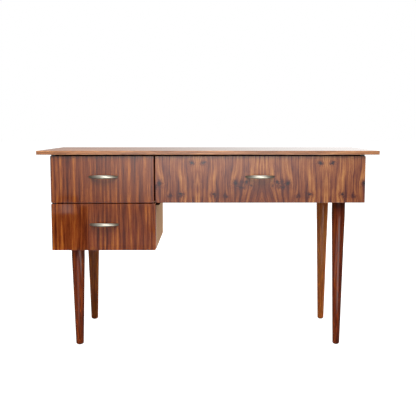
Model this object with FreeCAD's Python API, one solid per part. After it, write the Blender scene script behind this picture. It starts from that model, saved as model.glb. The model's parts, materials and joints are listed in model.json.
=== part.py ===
import FreeCAD, Part
import os

# Writing desk with three drawers, in millimetres.
# +Z is up, the drawers open towards -Y, and +X is to the right of a person facing the fronts.
# The origin is on the floor, under the middle of the whole desk's box.

# --- Whole desk ---
DESK_HEIGHT = 760.0
TOP_WIDTH = 1290.0
TOP_DEPTH = 525.0
TOP_THICKNESS = 15.0
TOP_FRONT_OVERHANG = 11.5    # how far the top stands in front of the drawer fronts
LIPPING_WIDTH = 6.0          # solid wood edge strip all round the top
TOP_CORNER_RADIUS = 2.5
TOP_ARRIS_RADIUS = 1.5

# --- Drawer fronts ---
FRONT_THICKNESS = 18.0
FRONT_ARRIS_RADIUS = 1.2
FRONT_CLEARANCE = 1.0        # between the back of a front and the carcass edges
SHADOW_GAP = 5.0             # under the top, between the two upper fronts
BOX_GAP = 4.0                # between the upper left front and the lower front
UPPER_FRONT_BOTTOM_Z = 563.0
LOWER_FRONT_BOTTOM_Z = 380.5
CORNER_TIGHT = 1.5
CORNER_SOFT = 4.0
CORNER_ROUND = 7.5

# --- Carcass and the lower box hung under its left bay ---
HALF_WIDTH = 595.0           # outer faces of the carcass sides
BOARD = 16.0                 # sides, divider and bottoms
RAIL_THICKNESS = 18.0
RAIL_DEPTH = 110.0
BACK_THICKNESS = 6.0
BACK_RECESS = 6.0
DIVIDER_X = -202.5
CARCASS_BOTTOM_Z = 569.0
BOX_BOTTOM_Z = 384.0
BOX_RIGHT_X = -198.5
BODY_DEPTH = 462.0           # from the drawer fronts' faces to the back edges of the sides
CLEAT_WIDTH = 12.0
CLEAT_HEIGHT = 17.0
CLEAT_SETBACK = 2.0          # behind the front edges of the box

# --- Drawer boxes, runners and stops ---
DRAWER_BOARD = 12.0
DRAWER_LENGTH = 420.0
DRAWER_SIDE_PLAY = 1.5       # each side, between a drawer side and the bay
UPPER_DRAWER_Z = (591.0, 704.0)
LOWER_DRAWER_Z = (406.0, 546.0)
PLY_THICKNESS = 5.0
PLY_GROOVE_DEPTH = 5.0
PLY_HEIGHT = 10.0            # from a drawer side's bottom edge up to the ply
RUNNER_HEIGHT = 14.0
RUNNER_REACH = 6.0           # how far a runner enters its groove
RUNNER_PLAY = 0.5
RUNNER_START = 40.0          # behind the drawer fronts' faces
RUNNER_LENGTH = 402.0
GROOVE_LEAD = 5.0            # how far a drawer's groove runs on past the runner's front end
UPPER_RUNNER_Z = 640.0
LOWER_RUNNER_Z = 470.0
DRAWER_TRAVEL = 300.0
STOP_SIZE = (40.0, 20.0, 29.0)
STOP_SLACK = 2.0

# --- Handles ---
HANDLE_LENGTH = 112.0
HANDLE_PROJECTION = 24.0
HANDLE_MIDDLE_HEIGHT = 14.0
HANDLE_END_HEIGHT = 7.0
HANDLE_FOOT_LENGTH = 12.5
HANDLE_BOW_THICKNESS = 6.0
HANDLE_HOLE_SPACING = 96.0
HANDLE_EDGE_RADIUS = 1.6
HANDLE_RAISE = 10.5          # above the middle of its front
LEFT_HANDLE_X = -395.5
RIGHT_HANDLE_X = 196.0

# --- Legs ---
LEG_X = 503.8
LEG_FRONT_Y = 46.0           # leg axes, behind the drawer fronts' faces
LEG_BACK_Y = 429.0
LEG_TOP_RADIUS = 25.2
SHORT_FOOT_RADIUS = 14.7
LONG_FOOT_RADIUS = 13.3
SHORT_COLLAR = 30.0          # straight length at the top of a leg
LONG_COLLAR = 60.0
LEG_FOOT_ROUNDING = 4.5
LEG_TOP_ROUNDING = 1.0
GLIDE_RADIUS = 8.5
GLIDE_THICKNESS = 2.0
PLATE_SIZE = 53.0
PLATE_THICKNESS = 2.5
PLATE_CORNER_RADIUS = 4.0
PLATE_HOLE_OFFSET = 20.9
BOSS_RADIUS = 7.0
BOSS_HEIGHT = 9.0
BOSS_CLEARANCE = 0.2
BOSS_HEADROOM = 1.0

# --- Fasteners: shaft radius, length, head radius, head height ---
BOLT_CLEARANCE = 0.1
PANEL_SCREW = (2.0, 28.0, 4.0, 2.2)
PLATE_SCREW = (2.0, 14.5, 3.8, 2.2)
RUNNER_SCREW = (1.75, 14.0, 3.5, 2.0)
HANDLE_BOLT = (2.0, 35.5, 4.5, 2.5)
HANGER_BOLT_RADIUS = 4.0
HANGER_BOLT_DEPTH = 32.0     # into the leg
GLIDE_PIN_RADIUS = 1.25
GLIDE_PIN_LENGTH = 12.0
RAIL_SCREW_XS = (-480.0, -300.0, 60.0, 480.0)
CLEAT_SCREW_STEPS = (0.1, 0.5, 0.9)       # fractions of the box's depth
RUNNER_SCREW_STEPS = (0.08, 0.5, 0.92)    # fractions of a runner's length

# --- Worked out from the values above ---
FRONT_Y = -(TOP_DEPTH - TOP_FRONT_OVERHANG - HANDLE_PROJECTION) / 2
TOP_FRONT_Y = FRONT_Y - TOP_FRONT_OVERHANG
TOP_BACK_Y = TOP_FRONT_Y + TOP_DEPTH
CARCASS_TOP_Z = DESK_HEIGHT - TOP_THICKNESS
BODY_Y = (FRONT_Y + FRONT_THICKNESS + FRONT_CLEARANCE, FRONT_Y + BODY_DEPTH)
BACK_PANEL_Y = (BODY_Y[1] - BACK_RECESS - BACK_THICKNESS, BODY_Y[1] - BACK_RECESS)
INNER_X = HALF_WIDTH - BOARD
DIVIDER_SPAN = (DIVIDER_X - BOARD / 2, DIVIDER_X + BOARD / 2)
LEFT_BAY = (-INNER_X, DIVIDER_SPAN[0])
RIGHT_BAY = (DIVIDER_SPAN[1], INNER_X)
BOX_BAY = (-INNER_X, BOX_RIGHT_X - BOARD)
BOARD_TOP_Z = CARCASS_BOTTOM_Z + BOARD
RAIL_Z = (CARCASS_TOP_Z - RAIL_THICKNESS, CARCASS_TOP_Z)
UPPER_FRONT_Z = (UPPER_FRONT_BOTTOM_Z, CARCASS_TOP_Z - SHADOW_GAP)
LOWER_FRONT_Z = (LOWER_FRONT_BOTTOM_Z, UPPER_FRONT_BOTTOM_Z - BOX_GAP)
DRAWER_Y = (FRONT_Y + FRONT_THICKNESS, FRONT_Y + FRONT_THICKNESS + DRAWER_LENGTH)
RUNNER_Y = (FRONT_Y + RUNNER_START, FRONT_Y + RUNNER_START + RUNNER_LENGTH)
STOP_BACK_Y = DRAWER_Y[1] - DRAWER_BOARD - DRAWER_TRAVEL - STOP_SLACK
LEG_YS = {"front": FRONT_Y + LEG_FRONT_Y, "back": FRONT_Y + LEG_BACK_Y}
LEG_SIDES = {"left": (-LEG_X, BOX_BOTTOM_Z), "right": (LEG_X, CARCASS_BOTTOM_Z)}

# Each drawer: its bay, its front, the corner radii of the front
# (bottom left, bottom right, top right, top left), its box, its runners and its handle.
DRAWERS = {
    "upper_left": {
        "bay": LEFT_BAY,
        "front_x": (-HALF_WIDTH, DIVIDER_X - SHADOW_GAP / 2),
        "front_z": UPPER_FRONT_Z,
        "corners": (CORNER_SOFT, CORNER_TIGHT, CORNER_TIGHT, CORNER_TIGHT),
        "box_z": UPPER_DRAWER_Z,
        "runner_z": UPPER_RUNNER_Z,
        "handle_x": LEFT_HANDLE_X,
        "stop_top_z": RAIL_Z[0],
    },
    "right": {
        "bay": RIGHT_BAY,
        "front_x": (DIVIDER_X + SHADOW_GAP / 2, HALF_WIDTH),
        "front_z": UPPER_FRONT_Z,
        "corners": (CORNER_TIGHT, CORNER_TIGHT, CORNER_SOFT, CORNER_TIGHT),
        "box_z": UPPER_DRAWER_Z,
        "runner_z": UPPER_RUNNER_Z,
        "handle_x": RIGHT_HANDLE_X,
        "stop_top_z": RAIL_Z[0],
    },
    "lower_left": {
        "bay": BOX_BAY,
        "front_x": (-HALF_WIDTH, BOX_RIGHT_X),
        "front_z": LOWER_FRONT_Z,
        "corners": (CORNER_TIGHT, CORNER_ROUND, CORNER_SOFT, CORNER_SOFT),
        "box_z": LOWER_DRAWER_Z,
        "runner_z": LOWER_RUNNER_Z,
        "handle_x": LEFT_HANDLE_X,
        "stop_top_z": CARCASS_BOTTOM_Z,
    },
}

X_AXIS = FreeCAD.Vector(1, 0, 0)
Y_AXIS = FreeCAD.Vector(0, 1, 0)
Z_AXIS = FreeCAD.Vector(0, 0, 1)


def vec(x, y, z):
    return FreeCAD.Vector(x, y, z)


def board(x, y, z):
    """A plain rectangular board from its low and high limits on each axis."""
    return Part.makeBox(x[1] - x[0], y[1] - y[0], z[1] - z[0], vec(x[0], y[0], z[0]))


def edges_in_plane(shape, axis, value):
    """The edges whose ends both lie in one plane square to an axis."""
    return [edge for edge in shape.Edges
            if all(abs(getattr(vertex.Point, axis) - value) < 1e-4 for vertex in edge.Vertexes)]


def edges_along(shape, direction):
    """The straight edges that run along a direction."""
    found = []
    for edge in shape.Edges:
        ends = [vertex.Point for vertex in edge.Vertexes]
        if len(ends) == 2 and (ends[1] - ends[0]).cross(direction).Length < 1e-4:
            found.append(edge)
    return found


def cut_all(shape, tools):
    """The shape less every tool."""
    return shape.cut(tools) if tools else shape


def group(solids):
    """Separate solids kept in one node."""
    return Part.makeCompound(solids)


def pan_screw(point, direction, size):
    """A screw whose head sits on the surface at point, with its shaft running along direction."""
    shaft_radius, length, head_radius, head_height = size
    shaft = Part.makeCylinder(shaft_radius, length, point, direction)
    head = Part.makeCylinder(head_radius, head_height, point - direction * head_height, direction)
    return shaft.fuse(head).removeSplitter()


def flat_screw(point, direction, size):
    """A countersunk screw, flush with the surface at point."""
    shaft_radius, length, head_radius, head_height = size
    shaft = Part.makeCylinder(shaft_radius, length, point, direction)
    head = Part.makeCone(head_radius, shaft_radius, head_height, point, direction)
    return shaft.fuse(head).removeSplitter()


def bore(point, direction, radius, length):
    """The hole that a shaft of this radius runs in."""
    return Part.makeCylinder(radius + BOLT_CLEARANCE, length, point, direction)


def countersink(point, direction, size):
    """The hole that a countersunk screw runs in."""
    shaft_radius, length, head_radius, head_height = size
    hole = bore(point, direction, shaft_radius, length + BOLT_CLEARANCE)
    wide, narrow = head_radius + BOLT_CLEARANCE, shaft_radius + BOLT_CLEARANCE
    mouth = Part.makeCone(wide, narrow, head_height, point, direction)
    return hole.fuse(mouth)


# --- Where the fasteners go ---

def panel_screw_places():
    """Screws up through the rails into the top, and up through the cleats into the carcass bottom."""
    places = []
    for y in (BODY_Y[0] + RAIL_DEPTH / 2, BACK_PANEL_Y[0] - RAIL_DEPTH / 2):
        for x in RAIL_SCREW_XS:
            places.append(vec(x, y, RAIL_Z[0]))
    for x in (-INNER_X + CLEAT_WIDTH / 2, BOX_RIGHT_X + CLEAT_WIDTH / 2):
        for step in CLEAT_SCREW_STEPS:
            y = BODY_Y[0] + step * (BACK_PANEL_Y[0] - BODY_Y[0])
            places.append(vec(x, y, CARCASS_BOTTOM_Z - CLEAT_HEIGHT))
    return places


def plate_screw_places(x, y, underside):
    """The four screws of one leg plate, on the plate's lower face."""
    return [vec(x + sx * PLATE_HOLE_OFFSET, y + sy * PLATE_HOLE_OFFSET, underside - PLATE_THICKNESS)
            for sx in (-1, 1) for sy in (-1, 1)]


def leg_places():
    """Each leg: its name, its axis and the underside that it stands under."""
    places = []
    for side, (x, underside) in LEG_SIDES.items():
        for end, y in LEG_YS.items():
            places.append((end + "_" + side, x, y, underside))
    return places


def runner_screw_places(drawer, side):
    """The three screws of one runner, on its face, and the way that they point."""
    low, high = drawer["bay"]
    reach = DRAWER_SIDE_PLAY + RUNNER_REACH
    face_x = low + reach if side == "left" else high - reach
    direction = -X_AXIS if side == "left" else X_AXIS
    middle_z = drawer["runner_z"] + RUNNER_HEIGHT / 2
    return [(vec(face_x, RUNNER_Y[0] + step * RUNNER_LENGTH, middle_z), direction)
            for step in RUNNER_SCREW_STEPS]


def screw_holes_in_walls():
    """All the runner screw holes in the sides and the divider."""
    return [countersink(point, direction, RUNNER_SCREW)
            for drawer in DRAWERS.values()
            for side in ("left", "right")
            for point, direction in runner_screw_places(drawer, side)]


def panel_screw_holes():
    return [bore(point, Z_AXIS, PANEL_SCREW[0], PANEL_SCREW[1] + BOLT_CLEARANCE)
            for point in panel_screw_places()]


def leg_fixing_holes(underside):
    """Recesses for the plate bosses and pilot holes for the plate screws under one board."""
    holes = []
    for _, x, y, leg_underside in leg_places():
        if leg_underside == underside:
            radius, depth = BOSS_RADIUS + BOSS_CLEARANCE, BOSS_HEIGHT + BOSS_HEADROOM
            holes.append(Part.makeCylinder(radius, depth, vec(x, y, underside)))
            for point in plate_screw_places(x, y, underside):
                holes.append(bore(point, Z_AXIS, PLATE_SCREW[0], PLATE_SCREW[1] + BOLT_CLEARANCE))
    return holes


# --- Top ---

def desktop_parts():
    """The top slab with eased edges, divided into its core panel and four lippings."""
    half = TOP_WIDTH / 2
    height = (CARCASS_TOP_Z, DESK_HEIGHT)
    slab = board((-half, half), (TOP_FRONT_Y, TOP_BACK_Y), height)
    slab = slab.makeFillet(TOP_CORNER_RADIUS, edges_along(slab, Z_AXIS))
    rims = edges_in_plane(slab, "z", height[0]) + edges_in_plane(slab, "z", height[1])
    slab = slab.makeFillet(TOP_ARRIS_RADIUS, rims)
    core_x = (-half + LIPPING_WIDTH, half - LIPPING_WIDTH)
    core_y = (TOP_FRONT_Y + LIPPING_WIDTH, TOP_BACK_Y - LIPPING_WIDTH)
    spans = {
        "top_panel": (core_x, core_y),
        "top_lipping_front": ((-half, half), (TOP_FRONT_Y, core_y[0])),
        "top_lipping_back": ((-half, half), (core_y[1], TOP_BACK_Y)),
        "top_lipping_left": ((-half, core_x[0]), core_y),
        "top_lipping_right": ((core_x[1], half), core_y),
    }
    pieces = {name: slab.common(board(x, y, height)) for name, (x, y) in spans.items()}
    pieces["top_panel"] = cut_all(pieces["top_panel"], panel_screw_holes())
    return pieces


# --- Carcass ---

def carcass_parts():
    wall_z = (CARCASS_BOTTOM_Z, CARCASS_TOP_Z)
    walls = screw_holes_in_walls()
    bay = (-INNER_X, INNER_X)
    front_rail = board(bay, (BODY_Y[0], BODY_Y[0] + RAIL_DEPTH), RAIL_Z)
    rear_rail = board(bay, (BACK_PANEL_Y[0] - RAIL_DEPTH, BACK_PANEL_Y[0]), RAIL_Z)
    bottom = board(bay, BODY_Y, (CARCASS_BOTTOM_Z, BOARD_TOP_Z))
    divider = board(DIVIDER_SPAN, (BODY_Y[0], BACK_PANEL_Y[0]), (BOARD_TOP_Z, RAIL_Z[0]))
    return {
        "side_left": cut_all(board((-HALF_WIDTH, -INNER_X), BODY_Y, wall_z), walls),
        "side_right": cut_all(board((INNER_X, HALF_WIDTH), BODY_Y, wall_z), walls),
        "centre_divider": cut_all(divider, walls),
        "carcass_bottom": cut_all(bottom, leg_fixing_holes(CARCASS_BOTTOM_Z) + panel_screw_holes()),
        "front_rail": cut_all(front_rail, panel_screw_holes()),
        "rear_rail": cut_all(rear_rail, panel_screw_holes()),
        "back_panel": board(bay, BACK_PANEL_Y, (BOARD_TOP_Z, CARCASS_TOP_Z)),
    }


def lower_box_parts():
    wall_z = (BOX_BOTTOM_Z, CARCASS_BOTTOM_Z)
    walls = screw_holes_in_walls()
    bottom = board(BOX_BAY, BODY_Y, (BOX_BOTTOM_Z, BOX_BOTTOM_Z + BOARD))
    back = board(BOX_BAY, BACK_PANEL_Y, (BOX_BOTTOM_Z + BOARD, CARCASS_BOTTOM_Z))
    cleat_y = (BODY_Y[0] + CLEAT_SETBACK, BACK_PANEL_Y[0])
    cleat_z = (CARCASS_BOTTOM_Z - CLEAT_HEIGHT, CARCASS_BOTTOM_Z)
    left_cleat = board((-INNER_X, -INNER_X + CLEAT_WIDTH), cleat_y, cleat_z)
    right_cleat = board((BOX_RIGHT_X, BOX_RIGHT_X + CLEAT_WIDTH), cleat_y, cleat_z)
    return {
        "box_side_left": cut_all(board((-HALF_WIDTH, -INNER_X), BODY_Y, wall_z), walls),
        "box_side_right": cut_all(board((BOX_BAY[1], BOX_RIGHT_X), BODY_Y, wall_z), walls),
        "box_bottom": cut_all(bottom, leg_fixing_holes(BOX_BOTTOM_Z)),
        "box_back": back,
        "box_cleat_left": cut_all(left_cleat, panel_screw_holes()),
        "box_cleat_right": cut_all(right_cleat, panel_screw_holes()),
    }


# --- Legs ---

def leg(x, y, underside):
    """A turned leg: a straight collar, then a cone down to a rounded foot."""
    is_short = underside == BOX_BOTTOM_Z
    foot_radius = SHORT_FOOT_RADIUS if is_short else LONG_FOOT_RADIUS
    collar = SHORT_COLLAR if is_short else LONG_COLLAR
    top_z = underside - PLATE_THICKNESS
    cone_top_z = underside - collar
    foot = vec(x, y, GLIDE_THICKNESS)
    cone = Part.makeCone(foot_radius, LEG_TOP_RADIUS, cone_top_z - GLIDE_THICKNESS, foot)
    straight = Part.makeCylinder(LEG_TOP_RADIUS, top_z - cone_top_z, vec(x, y, cone_top_z))
    body = cone.fuse(straight).removeSplitter()
    body = body.makeFillet(LEG_FOOT_ROUNDING, edges_in_plane(body, "z", GLIDE_THICKNESS))
    body = body.makeFillet(LEG_TOP_ROUNDING, edges_in_plane(body, "z", top_z))
    bolt_hole = bore(vec(x, y, top_z - HANGER_BOLT_DEPTH), Z_AXIS, HANGER_BOLT_RADIUS, HANGER_BOLT_DEPTH)
    pin_hole = bore(foot, Z_AXIS, GLIDE_PIN_RADIUS, GLIDE_PIN_LENGTH)
    return cut_all(body, [bolt_hole, pin_hole])


def leg_plate(x, y, underside):
    """A steel plate with rounded corners and a threaded boss let into the board above."""
    half = PLATE_SIZE / 2
    plate = board((x - half, x + half), (y - half, y + half), (underside - PLATE_THICKNESS, underside))
    plate = plate.makeFillet(PLATE_CORNER_RADIUS, edges_along(plate, Z_AXIS))
    boss = Part.makeCylinder(BOSS_RADIUS, BOSS_HEIGHT, vec(x, y, underside))
    lower_face = vec(x, y, underside - PLATE_THICKNESS)
    bolt_hole = bore(lower_face, Z_AXIS, HANGER_BOLT_RADIUS, PLATE_THICKNESS + BOSS_HEIGHT)
    screw_holes = [bore(point, Z_AXIS, PLATE_SCREW[0], PLATE_THICKNESS)
                   for point in plate_screw_places(x, y, underside)]
    return plate.fuse(boss).removeSplitter().cut(screw_holes + [bolt_hole])


def hanger_bolt(x, y, underside):
    """A rod from inside the leg up through the plate's boss."""
    length = HANGER_BOLT_DEPTH + PLATE_THICKNESS + BOSS_HEIGHT
    start = vec(x, y, underside - PLATE_THICKNESS - HANGER_BOLT_DEPTH)
    return Part.makeCylinder(HANGER_BOLT_RADIUS, length, start)


def foot_glide(x, y):
    """A nail-in glide: a disc on the floor with a pin up into the leg."""
    disc = Part.makeCylinder(GLIDE_RADIUS, GLIDE_THICKNESS, vec(x, y, 0))
    pin = Part.makeCylinder(GLIDE_PIN_RADIUS, GLIDE_PIN_LENGTH, vec(x, y, GLIDE_THICKNESS))
    return disc.fuse(pin).removeSplitter()


def leg_parts():
    parts = {"leg_" + name: leg(x, y, underside) for name, x, y, underside in leg_places()}
    parts["leg_plates"] = group([leg_plate(x, y, underside) for _, x, y, underside in leg_places()])
    parts["hanger_bolts"] = group([hanger_bolt(x, y, underside) for _, x, y, underside in leg_places()])
    parts["foot_glides"] = group([foot_glide(x, y) for _, x, y, _ in leg_places()])
    parts["leg_plate_screws"] = group([pan_screw(point, Z_AXIS, PLATE_SCREW)
                                       for _, x, y, underside in leg_places()
                                       for point in plate_screw_places(x, y, underside)])
    return parts


# --- Runners, stops and the screws of the carcass ---

def runner(drawer, side):
    """A hardwood runner on one wall of a bay."""
    low, high = drawer["bay"]
    reach = DRAWER_SIDE_PLAY + RUNNER_REACH
    x = (low, low + reach) if side == "left" else (high - reach, high)
    strip = board(x, RUNNER_Y, (drawer["runner_z"], drawer["runner_z"] + RUNNER_HEIGHT))
    return cut_all(strip, [countersink(point, direction, RUNNER_SCREW)
                           for point, direction in runner_screw_places(drawer, side)])


def stop_block(drawer):
    """A block that the drawer's back meets when the drawer is fully out."""
    width, depth, height = STOP_SIZE
    middle_x = sum(drawer["bay"]) / 2
    top_z = drawer["stop_top_z"]
    x = (middle_x - width / 2, middle_x + width / 2)
    return board(x, (STOP_BACK_Y - depth, STOP_BACK_Y), (top_z - height, top_z))


def fitting_parts():
    parts = {"runner_" + name + "_" + side: runner(drawer, side)
             for name, drawer in DRAWERS.items() for side in ("left", "right")}
    parts["drawer_stops"] = group([stop_block(drawer) for drawer in DRAWERS.values()])
    parts["runner_screws"] = group([flat_screw(point, direction, RUNNER_SCREW)
                                    for drawer in DRAWERS.values()
                                    for side in ("left", "right")
                                    for point, direction in runner_screw_places(drawer, side)])
    parts["panel_screws"] = group([pan_screw(point, Z_AXIS, PANEL_SCREW) for point in panel_screw_places()])
    return parts


# --- Drawers ---

def handle_height(drawer):
    return sum(drawer["front_z"]) / 2 + HANDLE_RAISE


def handle_bolt_places(drawer):
    """The two bolt heads, on the inner face of the drawer box's front."""
    z = handle_height(drawer)
    y = DRAWER_Y[0] + DRAWER_BOARD
    return [vec(drawer["handle_x"] + side * HANDLE_HOLE_SPACING / 2, y, z) for side in (-1, 1)]


def handle_bolt_holes(drawer):
    return [bore(point, -Y_AXIS, HANDLE_BOLT[0], HANDLE_BOLT[1] + BOLT_CLEARANCE)
            for point in handle_bolt_places(drawer)]


def drawer_front(drawer):
    """An overlay front with its own corner radii and an eased outline."""
    x, z = drawer["front_x"], drawer["front_z"]
    panel = board(x, (FRONT_Y, FRONT_Y + FRONT_THICKNESS), z)
    corners = [(x[0], z[0]), (x[1], z[0]), (x[1], z[1]), (x[0], z[1])]
    for (corner_x, corner_z), radius in zip(corners, drawer["corners"]):
        edge = [edge for edge in edges_along(panel, Y_AXIS)
                if abs(edge.Vertexes[0].X - corner_x) + abs(edge.Vertexes[0].Z - corner_z) < 1e-4]
        panel = panel.makeFillet(radius, edge)
    panel = panel.makeFillet(FRONT_ARRIS_RADIUS, edges_in_plane(panel, "y", FRONT_Y))
    return cut_all(panel, handle_bolt_holes(drawer))


def drawer_box_parts(name, drawer):
    """Full-length sides, an inner front and a back between them, and a ply bottom in grooves."""
    low, high = drawer["bay"][0] + DRAWER_SIDE_PLAY, drawer["bay"][1] - DRAWER_SIDE_PLAY
    inner = (low + DRAWER_BOARD, high - DRAWER_BOARD)
    bottom_z, top_z = drawer["box_z"]
    ply_z = (bottom_z + PLY_HEIGHT, bottom_z + PLY_HEIGHT + PLY_THICKNESS)
    ply_x = (inner[0] - PLY_GROOVE_DEPTH, inner[1] + PLY_GROOVE_DEPTH)
    ply_y = (DRAWER_Y[0] + DRAWER_BOARD - PLY_GROOVE_DEPTH, DRAWER_Y[1])
    ply = board(ply_x, ply_y, ply_z)
    groove_reach = RUNNER_REACH + RUNNER_PLAY
    groove_y = (RUNNER_Y[0] - GROOVE_LEAD, DRAWER_Y[1])
    groove_z = (drawer["runner_z"] - RUNNER_PLAY, drawer["runner_z"] + RUNNER_HEIGHT + RUNNER_PLAY)
    left_groove = board((low, low + groove_reach), groove_y, groove_z)
    right_groove = board((high - groove_reach, high), groove_y, groove_z)
    left_side = board((low, inner[0]), DRAWER_Y, (bottom_z, top_z))
    right_side = board((inner[1], high), DRAWER_Y, (bottom_z, top_z))
    inner_front = board(inner, (DRAWER_Y[0], DRAWER_Y[0] + DRAWER_BOARD), (bottom_z, top_z))
    prefix = name + "_drawer_"
    return {
        prefix + "inner_front": inner_front.cut([ply] + handle_bolt_holes(drawer)),
        prefix + "side_left": left_side.cut([ply, left_groove]),
        prefix + "side_right": right_side.cut([ply, right_groove]),
        prefix + "back": board(inner, (DRAWER_Y[1] - DRAWER_BOARD, DRAWER_Y[1]), (ply_z[1], top_z)),
        prefix + "bottom": ply,
    }


def handle(drawer):
    """A bow handle: an arch in plan and an almond from the front, on two flat feet."""
    half = HANDLE_LENGTH / 2
    inner_half = half - HANDLE_FOOT_LENGTH
    inner_depth = HANDLE_PROJECTION - HANDLE_BOW_THICKNESS
    outer_arc = Part.Arc(vec(-half, 0, 0), vec(0, -HANDLE_PROJECTION, 0), vec(half, 0, 0))
    right_foot = Part.LineSegment(vec(half, 0, 0), vec(inner_half, 0, 0))
    inner_arc = Part.Arc(vec(inner_half, 0, 0), vec(0, -inner_depth, 0), vec(-inner_half, 0, 0))
    left_foot = Part.LineSegment(vec(-inner_half, 0, 0), vec(-half, 0, 0))
    plan = Part.Wire([curve.toShape() for curve in (outer_arc, right_foot, inner_arc, left_foot)])
    bow = Part.Face(plan).extrude(vec(0, 0, HANDLE_MIDDLE_HEIGHT))
    bow.translate(vec(0, 0, -HANDLE_MIDDLE_HEIGHT / 2))
    end = HANDLE_END_HEIGHT / 2
    middle = HANDLE_MIDDLE_HEIGHT / 2
    upper_arc = Part.Arc(vec(-half, 0, end), vec(0, 0, middle), vec(half, 0, end))
    right_end = Part.LineSegment(vec(half, 0, end), vec(half, 0, -end))
    lower_arc = Part.Arc(vec(half, 0, -end), vec(0, 0, -middle), vec(-half, 0, -end))
    left_end = Part.LineSegment(vec(-half, 0, -end), vec(-half, 0, end))
    outline = Part.Wire([curve.toShape() for curve in (upper_arc, right_end, lower_arc, left_end)])
    almond = Part.Face(outline).extrude(vec(0, -HANDLE_PROJECTION, 0))
    body = bow.common(almond)
    foot_edges = edges_in_plane(body, "y", 0.0)
    long_edges = [edge for edge in body.Edges
                  if edge.Length > inner_half and not any(edge.isSame(foot) for foot in foot_edges)]
    body = body.makeFillet(HANDLE_EDGE_RADIUS, long_edges)
    body.translate(vec(drawer["handle_x"], FRONT_Y, handle_height(drawer)))
    return cut_all(body, handle_bolt_holes(drawer))


def drawer_parts(name, drawer):
    prefix = name + "_drawer_"
    parts = {prefix + "front": drawer_front(drawer), prefix + "handle": handle(drawer)}
    parts.update(drawer_box_parts(name, drawer))
    parts[prefix + "handle_bolts"] = group([pan_screw(point, -Y_AXIS, HANDLE_BOLT)
                                            for point in handle_bolt_places(drawer)])
    return parts


def build():
    parts = {}
    parts.update(desktop_parts())
    parts.update(carcass_parts())
    parts.update(lower_box_parts())
    parts.update(leg_parts())
    parts.update(fitting_parts())
    for name, drawer in DRAWERS.items():
        parts.update(drawer_parts(name, drawer))
    os.makedirs("parts", exist_ok=True)
    for name, shape in parts.items():
        shape.exportStep("parts/" + name + ".step")
        print(name, "solids", len(shape.Solids), "valid", shape.isValid(), "volume", round(shape.Volume))
    print(len(parts), "nodes")


build()
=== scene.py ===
import json
import math

import bmesh
import bpy
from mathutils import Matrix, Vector


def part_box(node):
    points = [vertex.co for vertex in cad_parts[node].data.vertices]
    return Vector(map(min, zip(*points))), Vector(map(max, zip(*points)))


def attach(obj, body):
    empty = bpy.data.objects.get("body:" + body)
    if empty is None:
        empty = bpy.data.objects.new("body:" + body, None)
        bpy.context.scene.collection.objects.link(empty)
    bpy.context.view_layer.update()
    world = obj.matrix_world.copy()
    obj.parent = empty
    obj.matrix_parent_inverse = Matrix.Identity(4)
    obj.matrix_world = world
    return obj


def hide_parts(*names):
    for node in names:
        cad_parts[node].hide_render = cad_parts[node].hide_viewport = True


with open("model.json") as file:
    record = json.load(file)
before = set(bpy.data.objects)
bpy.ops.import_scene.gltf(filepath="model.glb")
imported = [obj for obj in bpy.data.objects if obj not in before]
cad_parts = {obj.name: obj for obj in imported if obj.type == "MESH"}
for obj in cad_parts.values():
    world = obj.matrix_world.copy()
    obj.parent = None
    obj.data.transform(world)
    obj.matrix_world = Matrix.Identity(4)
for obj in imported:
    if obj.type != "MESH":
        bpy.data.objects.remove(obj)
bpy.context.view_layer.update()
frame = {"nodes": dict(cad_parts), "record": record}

# Writing desk with three drawers. Metres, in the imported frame: +Z up, fronts towards -Y.

NODES = frame["nodes"]
FRONT_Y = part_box("right_drawer_front")[0].y      # outer faces of the drawer fronts


# ---------------------------------------------------------------- node graphs

RAMP_LINES = 10          # lines to a colour ramp: it holds 32 stops, and a line takes three


def rgba(value):
    """Gives a plain colour the alpha that its socket wants; anything else passes through."""
    if isinstance(value, tuple) and len(value) == 3:
        return (*value, 1.0)
    return value


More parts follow.
